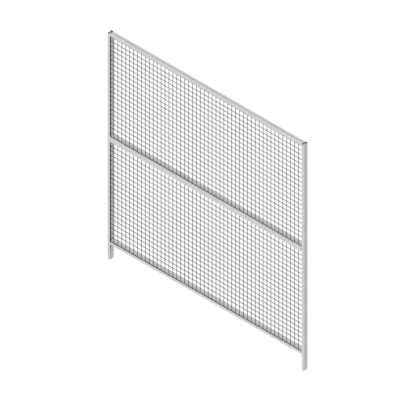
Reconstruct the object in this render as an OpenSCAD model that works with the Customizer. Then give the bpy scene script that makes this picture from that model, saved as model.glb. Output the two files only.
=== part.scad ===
// Machine guard fence panel: two full-height posts and four rails of one slotted aluminium
// section, with a sheet of welded wire mesh clamped in the grooves of each of its two fields.
// X runs along the panel, the front is towards -Y, and Z is up. The origin is the middle of
// the left post's foot. Millimetres.

/* [Panel] */
// Length over the outer faces of the posts
panel_w = 2000; // [800:1:3000]
// Height of the posts
panel_h = 1992; // [1400:1:2500]
// Open height under the bottom rail
floor_gap = 138; // [40:1:300]
// Height of the joint between the two middle rails
mid_joint_z = 1062; // [700:1:1300]

/* [Frame section] */
// Section size across the panel's plane, from outer face to inner face
sec_w = 22; // [21:0.5:30]
// Section size from front to back
sec_d = 40; // [39:0.5:60]
// Thickness of the outer walls
wall = 2; // [1.2:0.1:2.5]
// Thickness of the inner webs
web = 1.6; // [1:0.1:2.4]
// Radius of the outer corners
corner_r = 1; // [0.3:0.1:2]
// Diameter of the screw channel, the tapping size of the foot screw
core_d = 6.8; // [4:0.1:7.4]

/* [T-slot in the outer face] */
// Distance from the front face to the middle of the slot
slot_v = 17; // [15:0.5:20]
// Width of the slot's mouth
slot_mouth = 8; // [5:0.1:9]
// Thickness of the lips beside the mouth
slot_lip = 2; // [1.2:0.1:3]
// Width behind the lips
slot_w = 14; // [10:0.1:15]
// Height of the straight sides behind the lips
slot_side = 3; // [1:0.1:4]
// Depth from the outer face to the floor
slot_depth = 8; // [7:0.1:8.5]
// Width of the floor
slot_floor = 9; // [6:0.1:10]

/* [Mesh groove in the inner face] */
// Thickness of the wall in front of the groove
groove_front = 3; // [2:0.1:3.6]
// Width of the groove's mouth
groove_mouth = 10.2; // [9.8:0.1:10.8]
// Width behind the rear lip
groove_w = 12.2; // [11.2:0.1:12.8]
// Thickness of the rear lip
groove_lip = 2; // [1:0.1:3]
// Depth from the inner face to the floor
groove_depth = 9; // [7:0.1:10]

/* [Wire mesh] */
// Distance between wires
mesh_pitch = 40; // [25:1:100]
// Diameter of the round wire
wire_d = 5; // [3:0.1:5.2]
// How far the wires are pressed together where they are welded
weld_sink = 0.3; // [0.1:0.05:0.6]
// Depth of the lowest level wire in the groove below it
mesh_drop = 2.5; // [2:0.1:5]
// Least open height between the highest level wire and the rail above it
mesh_clear = 8; // [4:1:30]
// Gap between the wire ends and the groove floors
wire_end_gap = 1.5; // [0.5:0.1:2]

/* [Clamping strips] */
// How far the strips stay back from the inner face
strip_recess = 0.5; // [0.2:0.1:1.5]

/* [Hidden] */
$fn = 48;
eps = 0.01;

// Outer and inner faces of the posts, and the front of the frame
left_outer_x = -sec_w / 2;
left_inner_x = left_outer_x + sec_w;
right_outer_x = left_outer_x + panel_w;
right_inner_x = right_outer_x - sec_w;
front_y = -sec_d / 2;
rail_len = right_inner_x - left_inner_x;

// Bottom and top of the two mesh fields
lower_z0 = floor_gap + sec_w;
lower_z1 = mid_joint_z - sec_w;
upper_z0 = mid_joint_z + sec_w;
upper_z1 = panel_h - sec_w;

// Section: u runs from the outer face to the inner face, v from the front to the back
mid_v = sec_d / 2;
slot_front_v = slot_v - slot_w / 2;
slot_back_v = slot_v + slot_w / 2;
core_u = (slot_depth + sec_w) / 2;
groove_floor_u = sec_w - groove_depth;
mouth_back_v = groove_front + groove_mouth;
groove_back_v = groove_front + groove_w;

// Six-sided bar with the cross-section area of the round wire, its flats to front and back
bar_d = wire_d * sqrt(2 * PI / (3 * sqrt(3)));
bar_t = bar_d * cos(30);
upright_v = groove_front + bar_t / 2;
level_v = upright_v + bar_t - weld_sink;
strip_front_v = level_v + bar_t / 2;

// Upright wires across the panel: as many as the pitch allows with the outermost in the grooves
groove_reach = 4;
wire_count = floor((rail_len + 2 * groove_reach) / mesh_pitch) + 1;
wire_x0 = (left_inner_x + right_inner_x - (wire_count - 1) * mesh_pitch) / 2;
side_count = ceil(wire_count / 3);
wire_reach = groove_depth - wire_end_gap;

function wire_x(i) = wire_x0 + i * mesh_pitch;
function level_count(z0, z1) = floor((z1 - z0 + mesh_drop - mesh_clear) / mesh_pitch) + 1;

// Outline of the frame section with rounded corners
module outline() {
    translate([corner_r, 0]) square([sec_w - 2 * corner_r, sec_d]);
    translate([0, corner_r]) square([sec_w, sec_d - 2 * corner_r]);
    for (u = [corner_r, sec_w - corner_r], v = [corner_r, sec_d - corner_r])
        translate([u, v]) circle(corner_r);
}

// T-slot in the outer face
module t_slot() {
    side_u = slot_lip + slot_side;
    translate([-eps, slot_v - slot_mouth / 2]) square([slot_lip + 2 * eps, slot_mouth]);
    polygon([
        [slot_lip, slot_front_v], [side_u, slot_front_v],
        [slot_depth, slot_v - slot_floor / 2], [slot_depth, slot_v + slot_floor / 2],
        [side_u, slot_back_v], [slot_lip, slot_back_v]
    ]);
}

// Groove for the mesh near the front of the inner face, wider behind its rear lip
module mesh_groove() {
    translate([groove_floor_u, groove_front]) square([groove_depth + eps, groove_mouth]);
    translate([groove_floor_u, groove_front]) square([groove_depth - groove_lip, groove_w]);
}

// Closed chamber in the front corner, between the T-slot and the mesh groove
module front_chamber() {
    translate([wall, wall])
        square([groove_floor_u - web - wall, slot_front_v - web - wall]);
}

// Chamber along the back, which reaches round behind the T-slot
module rear_chamber() {
    reach_v = mid_v + core_d / 2 + web;
    inner_u = sec_w - wall;
    polygon([
        [wall, slot_back_v + web], [slot_depth + web, slot_back_v + web],
        [slot_depth + web, reach_v], [inner_u, reach_v],
        [inner_u, sec_d - wall], [wall, sec_d - wall]
    ]);
}

// The frame section
module section() {
    difference() {
        outline();
        t_slot();
        mesh_groove();
        front_chamber();
        rear_chamber();
        translate([core_u, mid_v]) circle(d = core_d);
    }
}

// A post with its outer face towards -X, cut square and left open at both ends
module post() {
    color("#c6c8c8") translate([left_outer_x, front_y, 0]) linear_extrude(panel_h) section();
}

// A rail between the posts, hanging below z with its outer face up
module rail(z) {
    color("#cdcfcf") translate([left_inner_x, front_y, z]) rotate([0, 90, 0])
        linear_extrude(rail_len) section();
}

// A rail standing on z with its outer face down
module rail_up(z) {
    translate([0, 0, 2 * z]) mirror([0, 0, 1]) rail(z);
}

// Sheet of welded mesh from upright wire first to upright wire last, in a field z0 to z1 high.
// Level wires end in the groove beside an outermost wire, and half a pitch on beside any other.
module mesh(z0, z1, first, last) {
    x0 = first == 0 ? left_inner_x - wire_reach : wire_x(first) - mesh_pitch / 2;
    x1 = last == wire_count - 1 ? right_inner_x + wire_reach : wire_x(last) + mesh_pitch / 2;
    color("#4c4e50") union() {
        for (i = [first : last])
            translate([wire_x(i), front_y + upright_v, z0 - wire_reach])
                cylinder(d = bar_d, h = z1 - z0 + 2 * wire_reach, $fn = 6);
        for (k = [0 : level_count(z0, z1) - 1])
            translate([x0, front_y + level_v, z0 - mesh_drop + k * mesh_pitch])
                rotate([0, 90, 0]) cylinder(d = bar_d, h = x1 - x0, $fn = 6);
    }
}

module mesh_left(z0, z1) { mesh(z0, z1, 0, side_count - 1); }
module mesh_middle(z0, z1) { mesh(z0, z1, side_count, wire_count - side_count - 1); }
module mesh_right(z0, z1) { mesh(z0, z1, wire_count - side_count, wire_count - 1); }

// Section of the strip that presses the mesh against the groove's front wall, held by the lip
module strip_section() {
    polygon([
        [sec_w - strip_recess, strip_front_v], [sec_w - strip_recess, mouth_back_v],
        [sec_w - groove_lip, mouth_back_v], [sec_w - groove_lip, groove_back_v],
        [groove_floor_u, groove_back_v], [groove_floor_u, strip_front_v]
    ]);
}

module strip_left(z0, z1) {
    color("#3a3b3c") translate([left_outer_x, front_y, z0])
        linear_extrude(z1 - z0) strip_section();
}

module strip_right(z0, z1) {
    translate([left_outer_x + right_outer_x, 0, 0]) mirror([1, 0, 0]) strip_left(z0, z1);
}

// Strip in the groove of the rail whose outer face is at z
module strip_top(z) {
    color("#3a3b3c") translate([left_inner_x, front_y, z]) rotate([0, 90, 0])
        linear_extrude(rail_len) strip_section();
}

module strip_bottom(z) {
    translate([0, 0, 2 * z]) mirror([0, 0, 1]) strip_top(z);
}

post();  // left_post
translate([left_outer_x + right_outer_x, 0, 0]) mirror([1, 0, 0]) post();  // right_post
rail(panel_h);  // top_rail
rail_up(mid_joint_z);  // mid_rail_upper
rail(mid_joint_z);  // mid_rail_lower
rail_up(floor_gap);  // bottom_rail
mesh_left(upper_z0, upper_z1);  // upper_mesh_left
mesh_middle(upper_z0, upper_z1);  // upper_mesh_middle
mesh_right(upper_z0, upper_z1);  // upper_mesh_right
mesh_left(lower_z0, lower_z1);  // lower_mesh_left
mesh_middle(lower_z0, lower_z1);  // lower_mesh_middle
mesh_right(lower_z0, lower_z1);  // lower_mesh_right
strip_left(upper_z0, upper_z1);  // upper_strip_left
strip_right(upper_z0, upper_z1);  // upper_strip_right
strip_top(panel_h);  // upper_strip_top
strip_bottom(mid_joint_z);  // upper_strip_bottom
strip_left(lower_z0, lower_z1);  // lower_strip_left
strip_right(lower_z0, lower_z1);  // lower_strip_right
strip_top(mid_joint_z);  // lower_strip_top
strip_bottom(floor_gap);  // lower_strip_bottom
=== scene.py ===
"""Looks of a machine guard fence panel: satin aluminium frame, coated welded mesh, rubber strips."""

import math

import bpy
import numpy as np
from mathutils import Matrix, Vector


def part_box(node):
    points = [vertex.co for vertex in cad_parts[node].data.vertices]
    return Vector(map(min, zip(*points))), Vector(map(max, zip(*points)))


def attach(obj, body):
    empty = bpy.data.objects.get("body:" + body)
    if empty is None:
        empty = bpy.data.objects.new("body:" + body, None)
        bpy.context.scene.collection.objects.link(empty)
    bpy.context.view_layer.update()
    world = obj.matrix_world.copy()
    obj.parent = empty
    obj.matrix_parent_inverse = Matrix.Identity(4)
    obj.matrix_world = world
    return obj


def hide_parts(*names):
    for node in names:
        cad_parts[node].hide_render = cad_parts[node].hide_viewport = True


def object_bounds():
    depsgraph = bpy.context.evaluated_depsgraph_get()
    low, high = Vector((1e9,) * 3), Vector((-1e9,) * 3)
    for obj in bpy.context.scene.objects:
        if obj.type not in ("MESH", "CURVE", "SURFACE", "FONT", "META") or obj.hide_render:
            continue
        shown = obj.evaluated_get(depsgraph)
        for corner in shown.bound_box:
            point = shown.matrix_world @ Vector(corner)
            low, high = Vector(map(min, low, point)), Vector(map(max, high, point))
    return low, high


MM = 0.001

# View and light: angles in degrees, lengths in metres
VIEW_AZIMUTH = 45
VIEW_ELEVATION = 35
VIEW_WIDTH = 2.883
VIEW_RIGHT = -0.0549
VIEW_UP = 0.0051
VIEW_DISTANCE = 8.0
VIEW_REACH = 100.0
KEY_AZIMUTH = 45
KEY_ELEVATION = 64
KEY_ANGLE = 1.0
KEY_STRENGTH = 3.05
FILL_AZIMUTH = -30
FILL_ELEVATION = 10
FILL_ANGLE = 50
FILL_STRENGTH = 1.0
WORLD_STRENGTH = 0.2
LAMP_DISTANCE = 5.0
WHITE = (1, 1, 1, 1)
FLOOR_SIZE = 40.0
FLOOR_COLOR = (0.9, 0.9, 0.9)
FLOOR_GLOW = 0.95
FLOOR_GLOW_STRENGTH = 1.05

# Aluminium: its colour, and the painted shade that darkens its sawn ends and its hollows beside its
# outer faces
ALUMINIUM = (0.55, 0.556, 0.555)
METALLIC = 0.3
ROUGHNESS = 0.45
ROUGHNESS_SPREAD = 0.06
CUT_ROUGHER = 0.08
CUT_FACING = 0.9
CUT_PAINTED_SHADE = 0.4
HOLLOW_PAINTED_SHADE = 0.08

# Marks on the aluminium: noise scales per metre along and across the section, and depths
DIE_LINES = (4.0, 1600.0)
DIE_BANDS = (0.8, 120.0)
CLOUD_SCALE = 3.0
LINE_DEPTH = 0.05 * MM
SAW_SCALE = 420.0
SAW_SHIFT = (0.13, 0.21, 0.11)
SAW_DEPTH = 0.04 * MM

# Wire coat and rubber: colours, noise scales per metre, and depths
WIRE_COAT = (0.04, 0.041, 0.042)
WIRE_ROUGHNESS = 0.45
WIRE_GLOSS = 0.15
WIRE_GLOSS_ROUGHNESS = 0.3
WIRE_CLOUD_SCALE = 25.0
PEEL_SCALE = 900.0
PEEL_DEPTH = 0.06 * MM
RUBBER = (0.02, 0.02, 0.021)
RUBBER_ROUGHNESS = 0.7
RUBBER_SPECULAR = 0.35
BLOOM_SCALE = 40.0
GRAIN_SCALE = 2500.0
GRAIN_DEPTH = 0.03 * MM

# Hollows of the section that get painted shade, measured from its front face and from its outer face
HOLLOW_SKIN = 1 * MM
FRONT_CHAMBER_END = 9 * MM
REAR_CHAMBER_START = 25 * MM
GROOVE_FLOOR = 12.5 * MM
GROOVE_END = 16 * MM

# Welded mesh
MESH_PITCH = 40 * MM
ROUNDING = 1e-6
WIRE_D = 5 * MM
WELD_SINK = 0.3 * MM
MESH_DROP = 2.5 * MM
MESH_CLEAR = 8 * MM
GROOVE_REACH = 4 * MM
GROOVE_FRONT = 3 * MM
WIRE_SIDES = 16
WIRE_END_BEVEL = 0.3 * MM
NUGGET_RADII = (2.9 * MM, 1.6 * MM, 2.9 * MM)
NUGGET_SPREAD = 0.12
NUGGET_MERIDIANS = 10
NUGGET_RINGS = 6
NUGGET_SEED = 7
SHARP_ANGLE = 50

RAILS = ["top_rail", "mid_rail_upper", "mid_rail_lower", "bottom_rail"]
FIELDS = {"upper": ("mid_rail_upper", "top_rail"), "lower": ("bottom_rail", "mid_rail_lower")}
SIDES = ("left", "right", "top", "bottom")
STRIPS = [f"{field}_strip_{side}" for field in FIELDS for side in SIDES]


# ---------------------------------------------------------------- nodes

def new_material(name, color, metallic, roughness):
    """A new material, and its Principled shader."""
    material = bpy.data.materials.new(name)
    material.use_nodes = True
    shader = material.node_tree.nodes["Principled BSDF"]
    shader.inputs["Base Color"].default_value = (*color, 1)
    shader.inputs["Metallic"].default_value = metallic
    shader.inputs["Roughness"].default_value = roughness
    return material, shader


def node(material, kind, **values):
    """A new node, its values set by attribute or input name."""
    made = material.node_tree.nodes.new(kind)
    for key, value in values.items():
        if hasattr(made, key):
            setattr(made, key, value)
        else:
            made.inputs[key.replace("_", " ").title()].default_value = value
    return made


def link(material, source, target):
    material.node_tree.links.new(source, target)


def noise(material, scales, detail=3.0):
    """Noise over the object's own coordinates, with its own scale (per metre) along each axis."""
    place = node(material, "ShaderNodeTexCoord")
    mapping = node(material, "ShaderNodeMapping", vector_type="POINT", scale=scales)
    texture = node(material, "ShaderNodeTexNoise", scale=1.0, detail=detail, roughness=0.55)
    link(material, place.outputs["Object"], mapping.inputs["Vector"])
    link(material, mapping.outputs["Vector"], texture.inputs["Vector"])
    return texture.outputs["Fac"]


def spread(material, source, low, high, start=0.3, end=0.7):
    """Maps start..end of a value to low..high."""
    made = node(material, "ShaderNodeMapRange", from_min=start, from_max=end, to_min=low, to_max=high)
    link(material, source, made.inputs["Value"])
    return made.outputs["Result"]


def calc(material, operation, first, second=0.0):
    """A sum, product or the like of two values, each a number or a node's output."""
    made = node(material, "ShaderNodeMath", operation=operation)
    for slot, value in zip(made.inputs, (first, second)):
        if isinstance(value, (int, float)):
            slot.default_value = value
        else:
            link(material, value, slot)
    return made.outputs[0]


def product(material, *values):
    """All the values multiplied together."""
    total = values[0]
    for value in values[1:]:
        total = calc(material, "MULTIPLY", total, value)
    return total


def inverse(material, value):
    """1 less the value."""
    return calc(material, "SUBTRACT", 1.0, value)


def tinted(material, color, factor):
    """The colour times a varying factor."""
    made = node(material, "ShaderNodeVectorMath", operation="SCALE")
    made.inputs[0].default_value = color
    link(material, factor, made.inputs["Scale"])
    return made.outputs[0]


def bump(material, height, distance, before=None):
    """A normal with bumps of this height map, on top of the normal before it."""
    made = node(material, "ShaderNodeBump", strength=1.0, distance=distance)
    link(material, height, made.inputs["Height"])
    if before:
        link(material, before, made.inputs["Normal"])
    return made.outputs["Normal"]


# ---------------------------------------------------------------- materials

def between(material, value, start, end):
    """1 where a value lies between start and end, 0 elsewhere."""
    above = calc(material, "GREATER_THAN", value, start)
    return product(material, above, calc(material, "LESS_THAN", value, end))


def post_painted_shade_mask(material, outer_is_low):
    """1 where painted shade darkens a post, in its closed chambers and in its groove behind the top
    rail's end, 0 elsewhere.
    """
    low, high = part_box("left_post")
    width, depth, height = high - low
    place = node(material, "ShaderNodeTexCoord")
    share = node(material, "ShaderNodeSeparateXYZ")
    link(material, place.outputs["Generated"], share.inputs[0])
    inward, back, up = share.outputs
    if not outer_is_low:
        inward = inverse(material, inward)
    skin_in, skin_back = HOLLOW_SKIN / width, HOLLOW_SKIN / depth
    front = product(
        material,
        between(material, back, skin_back, FRONT_CHAMBER_END / depth),
        between(material, inward, skin_in, GROOVE_FLOOR / width),
    )
    rear = product(
        material,
        between(material, back, REAR_CHAMBER_START / depth, 1 - skin_back),
        between(material, inward, skin_in, 1 - skin_in),
    )
    groove = product(
        material,
        between(material, back, skin_back, GROOVE_END / depth),
        calc(material, "GREATER_THAN", inward, GROOVE_FLOOR / width),
        between(material, up, (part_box("top_rail")[0].z - low.z) / height, 1.0),
    )
    return calc(material, "MAXIMUM", calc(material, "MAXIMUM", front, rear), groove)


def cut_ends(material, length_axis):
    """1 on the faces that look along the section, 0 elsewhere."""
    geometry = node(material, "ShaderNodeNewGeometry")
    facing = node(material, "ShaderNodeVectorMath", operation="DOT_PRODUCT")
    facing.inputs[1].default_value = [float(axis == length_axis) for axis in range(3)]
    link(material, geometry.outputs["True Normal"], facing.inputs[0])
    along = calc(material, "ABSOLUTE", facing.outputs["Value"])
    return calc(material, "GREATER_THAN", along, CUT_FACING)


def saw_marks(material):
    """The arcs that a round saw blade leaves."""
    saw = node(
        material, "ShaderNodeTexWave", wave_type="RINGS", rings_direction="SPHERICAL",
        scale=SAW_SCALE, distortion=1.5, detail=2.0,
    )
    place = node(material, "ShaderNodeTexCoord")
    offset = node(material, "ShaderNodeMapping")
    offset.inputs["Location"].default_value = SAW_SHIFT
    link(material, place.outputs["Object"], offset.inputs["Vector"])
    link(material, offset.outputs["Vector"], saw.inputs["Vector"])
    return saw.outputs["Fac"]


def aluminium(name, length_axis, outer_is_low=None):
    """Satin anodised extrusion: die lines along its length, saw marks and painted shade on its cut
    ends.

    A post also says whether its outer face is on its low side, and its hollows are darkened with
    painted shade.
    """
    def streaks(scales, detail):
        along, across = scales
        return noise(material, [along if axis == length_axis else across for axis in range(3)], detail)

    material, shader = new_material(name, ALUMINIUM, METALLIC, ROUGHNESS)
    lines = streaks(DIE_LINES, 4.0)
    bands = streaks(DIE_BANDS, 2.0)
    cloud = noise(material, (CLOUD_SCALE,) * 3, 2.0)
    cut = cut_ends(material, length_axis)
    uncut = inverse(material, cut)
    # The last factor of the tone is painted shade that darkens the sawn end faces
    tone = product(
        material,
        spread(material, lines, 0.955, 1.045),
        spread(material, bands, 0.985, 1.015),
        spread(material, cloud, 0.985, 1.015),
        spread(material, cut, 1.0, CUT_PAINTED_SHADE, 0.0, 1.0),
    )
    # Painted shade: a post's closed chambers and its groove behind the top rail's end are darkened
    # where light hardly reaches
    if outer_is_low is not None:
        hollow = product(material, post_painted_shade_mask(material, outer_is_low), uncut)
        tone = product(material, tone, spread(material, hollow, 1.0, HOLLOW_PAINTED_SHADE, 0.0, 1.0))
    link(material, tinted(material, ALUMINIUM, tone), shader.inputs["Base Color"])
    rough = spread(material, lines, ROUGHNESS - ROUGHNESS_SPREAD, ROUGHNESS + ROUGHNESS_SPREAD)
    rough = calc(material, "ADD", rough, product(material, cut, CUT_ROUGHER))
    link(material, rough, shader.inputs["Roughness"])
    normal = bump(material, product(material, lines, uncut), LINE_DEPTH)
    normal = bump(material, product(material, saw_marks(material), cut), SAW_DEPTH, normal)
    link(material, normal, shader.inputs["Normal"])
    return material


def coated_wire():
    """Dark grey powder coat with its fine orange peel."""
    material, shader = new_material("coated_wire", WIRE_COAT, 0.0, WIRE_ROUGHNESS)
    shader.inputs["Coat Weight"].default_value = WIRE_GLOSS
    shader.inputs["Coat Roughness"].default_value = WIRE_GLOSS_ROUGHNESS
    peel = noise(material, (PEEL_SCALE,) * 3, 2.0)
    cloud = noise(material, (WIRE_CLOUD_SCALE,) * 3)
    tone = spread(material, cloud, 0.92, 1.08)
    link(material, tinted(material, WIRE_COAT, tone), shader.inputs["Base Color"])
    link(material, spread(material, peel, 0.4, 0.52), shader.inputs["Roughness"])
    link(material, bump(material, peel, PEEL_DEPTH), shader.inputs["Normal"])
    return material


def rubber():
    """Matt black rubber with a fine grain and a little bloom."""
    material, shader = new_material("black_rubber", RUBBER, 0.0, RUBBER_ROUGHNESS)
    shader.inputs["Specular IOR Level"].default_value = RUBBER_SPECULAR
    grain = noise(material, (GRAIN_SCALE,) * 3)
    bloom = noise(material, (BLOOM_SCALE,) * 3)
    tone = spread(material, bloom, 0.85, 1.3)
    link(material, tinted(material, RUBBER, tone), shader.inputs["Base Color"])
    link(material, spread(material, grain, 0.62, 0.8), shader.inputs["Roughness"])
    link(material, bump(material, grain, GRAIN_DEPTH), shader.inputs["Normal"])
    return material


def dress(names, material):
    """Gives CAD nodes their material."""
    for name in names:
        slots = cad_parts[name].data.materials
        slots.clear()
        slots.append(material)


# ---------------------------------------------------------------- welded mesh

def rod(start, end):
    """A round wire from start to end along X or Z, with bevelled ends: its corners and faces."""
    start, end = np.array(start), np.array(end)
    along = (end - start) / np.linalg.norm(end - start)
    across = np.array([0.0, 1.0, 0.0])
    third = np.cross(along, across)
    turns = np.arange(WIRE_SIDES) * 2 * math.pi / WIRE_SIDES
    radius = WIRE_D / 2
    ring = np.outer(np.cos(turns), across) + np.outer(np.sin(turns), third)
    stations = [
        (start, radius - WIRE_END_BEVEL), (start + along * WIRE_END_BEVEL, radius),
        (end - along * WIRE_END_BEVEL, radius), (end, radius - WIRE_END_BEVEL),
    ]
    corners = np.concatenate([centre + ring * size for centre, size in stations])
    faces = [tuple(range(WIRE_SIDES))[::-1], tuple(range(3 * WIRE_SIDES, 4 * WIRE_SIDES))]
    for level in range(3):
        for i in range(WIRE_SIDES):
            j = (i + 1) % WIRE_SIDES
            a, b = level * WIRE_SIDES, (level + 1) * WIRE_SIDES
            faces.append((a + i, a + j, b + j, b + i))
    return corners, faces


def ball():
    """A unit ball of few faces: its corners and faces."""
    corners = [(0.0, 0.0, 1.0)]
    for ring in range(1, NUGGET_RINGS):
        polar = math.pi * ring / NUGGET_RINGS
        for i in range(NUGGET_MERIDIANS):
            turn = 2 * math.pi * i / NUGGET_MERIDIANS
            across = math.sin(polar)
            corners.append((across * math.cos(turn), across * math.sin(turn), math.cos(polar)))
    corners.append((0.0, 0.0, -1.0))
    last = len(corners) - 1
    faces = []
    for i in range(NUGGET_MERIDIANS):
        j = (i + 1) % NUGGET_MERIDIANS
        faces.append((0, 1 + i, 1 + j))
        for ring in range(NUGGET_RINGS - 2):
            a = 1 + ring * NUGGET_MERIDIANS
            b = a + NUGGET_MERIDIANS
            faces.append((a + i, b + i, b + j, a + j))
        foot = 1 + (NUGGET_RINGS - 2) * NUGGET_MERIDIANS
        faces.append((foot + i, last, foot + j))
    return np.array(corners), faces


def joined(name, parts, material):
    """One mesh object from many (corners, faces) parts."""
    corners, faces, base = [], [], 0
    for part_corners, part_faces in parts:
        corners.append(part_corners)
        faces += [tuple(base + i for i in face) for face in part_faces]
        base += len(part_corners)
    mesh = bpy.data.meshes.new(name)
    mesh.from_pydata(np.concatenate(corners).tolist(), [], faces)
    mesh.validate()
    mesh.shade_smooth()
    mesh.set_sharp_from_angle(angle=math.radians(SHARP_ANGLE))
    mesh.materials.append(material)
    piece = bpy.data.objects.new(name, mesh)
    bpy.context.scene.collection.objects.link(piece)
    return piece


def wire_count(length):
    """How many wires stand on a length, the first at its start."""
    return math.floor(length / MESH_PITCH + ROUNDING) + 1


def mesh_sheet(field, material):
    """The welded mesh of one field: uprights in front, level wires behind, a nugget at each weld."""
    below, above = FIELDS[field]
    names = [f"{field}_mesh_{part}" for part in ("left", "middle", "right")]
    low = Vector(map(min, *(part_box(name)[0] for name in names)))
    high = Vector(map(max, *(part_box(name)[1] for name in names)))
    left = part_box("left_post")[1].x
    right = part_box("right_post")[0].x
    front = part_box("left_post")[0].y
    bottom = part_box(below)[1].z
    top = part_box(above)[0].z
    upright_y = front + GROOVE_FRONT + WIRE_D / 2
    level_y = upright_y + WIRE_D - WELD_SINK
    count = wire_count(right - left + 2 * GROOVE_REACH)
    first_x = (left + right - (count - 1) * MESH_PITCH) / 2
    first_z = bottom - MESH_DROP
    levels = wire_count(top - bottom + MESH_DROP - MESH_CLEAR)
    columns = [first_x + i * MESH_PITCH for i in range(count)]
    rows = [first_z + k * MESH_PITCH for k in range(levels)]
    parts = [rod((x, upright_y, low.z), (x, upright_y, high.z)) for x in columns]
    parts += [rod((low.x, level_y, z), (high.x, level_y, z)) for z in rows]
    corners, faces = ball()
    draw = np.random.default_rng(NUGGET_SEED)
    weld_y = (upright_y + level_y) / 2
    for x in columns:
        for z in rows:
            size = np.array(NUGGET_RADII) * (1 + NUGGET_SPREAD * draw.uniform(-1, 1, 3))
            parts.append((corners * size + (x, weld_y, z), faces))
    piece = joined(f"{field}_mesh", parts, material)
    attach(piece, "root")
    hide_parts(*names)
    return piece


# ---------------------------------------------------------------- stage

def direction(azimuth, elevation):
    """From the object towards a place at this azimuth and elevation."""
    a, e = math.radians(azimuth), math.radians(elevation)
    return Vector((math.sin(a) * math.cos(e), -math.cos(a) * math.cos(e), math.sin(e)))


def make_camera(low, high):
    back = direction(VIEW_AZIMUTH, VIEW_ELEVATION)
    right = Vector((-back.y, back.x, 0)).normalized()
    up = back.cross(right)
    data = bpy.data.cameras.new("camera")
    data.type = "ORTHO"
    data.ortho_scale = VIEW_WIDTH
    data.clip_end = VIEW_REACH
    camera = bpy.data.objects.new("camera", data)
    camera.location = (low + high) / 2 + right * VIEW_RIGHT + up * VIEW_UP + back * VIEW_DISTANCE
    camera.rotation_mode = "QUATERNION"
    camera.rotation_quaternion = (-back).to_track_quat("-Z", "Y")
    bpy.context.scene.collection.objects.link(camera)
    bpy.context.scene.camera = camera


def make_sun(name, azimuth, elevation, angle, strength):
    data = bpy.data.lights.new(name, "SUN")
    data.angle = math.radians(angle)
    data.energy = strength
    lamp = bpy.data.objects.new(name, data)
    lamp.rotation_mode = "QUATERNION"
    lamp.rotation_quaternion = (-direction(azimuth, elevation)).to_track_quat("-Z", "Y")
    lamp.location = direction(azimuth, elevation) * LAMP_DISTANCE
    bpy.context.scene.collection.objects.link(lamp)


def seen_directly(tree):
    """1 for camera, glossy and transmission rays, 0 for the light that falls on the object."""
    path = tree.nodes.new("ShaderNodeLightPath")
    total = path.outputs["Is Camera Ray"]
    for name in ("Is Glossy Ray", "Is Transmission Ray"):
        most = tree.nodes.new("ShaderNodeMath")
        most.operation = "MAXIMUM"
        tree.links.new(total, most.inputs[0])
        tree.links.new(path.outputs[name], most.inputs[1])
        total = most.outputs[0]
    return total


def make_world():
    world = bpy.data.worlds.new("studio")
    bpy.context.scene.world = world
    world.use_nodes = True
    tree = world.node_tree
    soft = tree.nodes["Background"]
    soft.inputs["Color"].default_value = WHITE
    soft.inputs["Strength"].default_value = WORLD_STRENGTH
    white = tree.nodes.new("ShaderNodeBackground")
    white.inputs["Color"].default_value = WHITE
    white.inputs["Strength"].default_value = 1.0
    mix = tree.nodes.new("ShaderNodeMixShader")
    tree.links.new(seen_directly(tree), mix.inputs["Fac"])
    tree.links.new(soft.outputs["Background"], mix.inputs[1])
    tree.links.new(white.outputs["Background"], mix.inputs[2])
    tree.links.new(mix.outputs["Shader"], tree.nodes["World Output"].inputs["Surface"])


def make_floor(z):
    """A pale floor that glows white to the camera and still takes the object's shadow."""
    half = FLOOR_SIZE / 2
    mesh = bpy.data.meshes.new("floor")
    corners = [(-half, -half, z), (half, -half, z), (half, half, z), (-half, half, z)]
    mesh.from_pydata(corners, [], [(0, 1, 2, 3)])
    floor = bpy.data.objects.new("floor", mesh)
    bpy.context.scene.collection.objects.link(floor)
    material = bpy.data.materials.new("pale_floor")
    material.use_nodes = True
    tree = material.node_tree
    matt = tree.nodes["Principled BSDF"]
    matt.inputs["Base Color"].default_value = (*FLOOR_COLOR, 1)
    matt.inputs["Roughness"].default_value = 1.0
    matt.inputs["Specular IOR Level"].default_value = 0.0
    glow = tree.nodes.new("ShaderNodeEmission")
    glow.inputs["Color"].default_value = WHITE
    glow.inputs["Strength"].default_value = FLOOR_GLOW_STRENGTH
    share = tree.nodes.new("ShaderNodeMath")
    share.operation = "MULTIPLY"
    share.inputs[1].default_value = FLOOR_GLOW
    tree.links.new(seen_directly(tree), share.inputs[0])
    mix = tree.nodes.new("ShaderNodeMixShader")
    tree.links.new(share.outputs[0], mix.inputs["Fac"])
    tree.links.new(matt.outputs["BSDF"], mix.inputs[1])
    tree.links.new(glow.outputs["Emission"], mix.inputs[2])
    tree.links.new(mix.outputs["Shader"], tree.nodes["Material Output"].inputs["Surface"])
    mesh.materials.append(material)


# ---------------------------------------------------------------- scene

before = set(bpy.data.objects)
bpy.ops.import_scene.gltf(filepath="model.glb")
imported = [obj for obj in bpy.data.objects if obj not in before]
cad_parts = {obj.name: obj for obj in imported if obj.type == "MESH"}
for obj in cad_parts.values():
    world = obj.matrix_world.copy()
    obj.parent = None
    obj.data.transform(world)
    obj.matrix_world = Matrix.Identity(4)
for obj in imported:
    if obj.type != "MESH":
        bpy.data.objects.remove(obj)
cad_low, cad_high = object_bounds()
make_camera(cad_low, cad_high)

finishes = {
    aluminium("anodised_aluminium_left", 2, outer_is_low=True): ["left_post"],
    aluminium("anodised_aluminium_right", 2, outer_is_low=False): ["right_post"],
    aluminium("anodised_aluminium_rails", 0): RAILS,
}
for finish, group in finishes.items():
    dress(group, finish)
dress(STRIPS, rubber())
wire = coated_wire()
for field in FIELDS:
    mesh_sheet(field, wire)

make_sun("key", KEY_AZIMUTH, KEY_ELEVATION, KEY_ANGLE, KEY_STRENGTH)
make_sun("fill", FILL_AZIMUTH, FILL_ELEVATION, FILL_ANGLE, FILL_STRENGTH)
make_world()
make_floor(cad_low.z)
bpy.context.scene.view_settings.view_transform = "Standard"
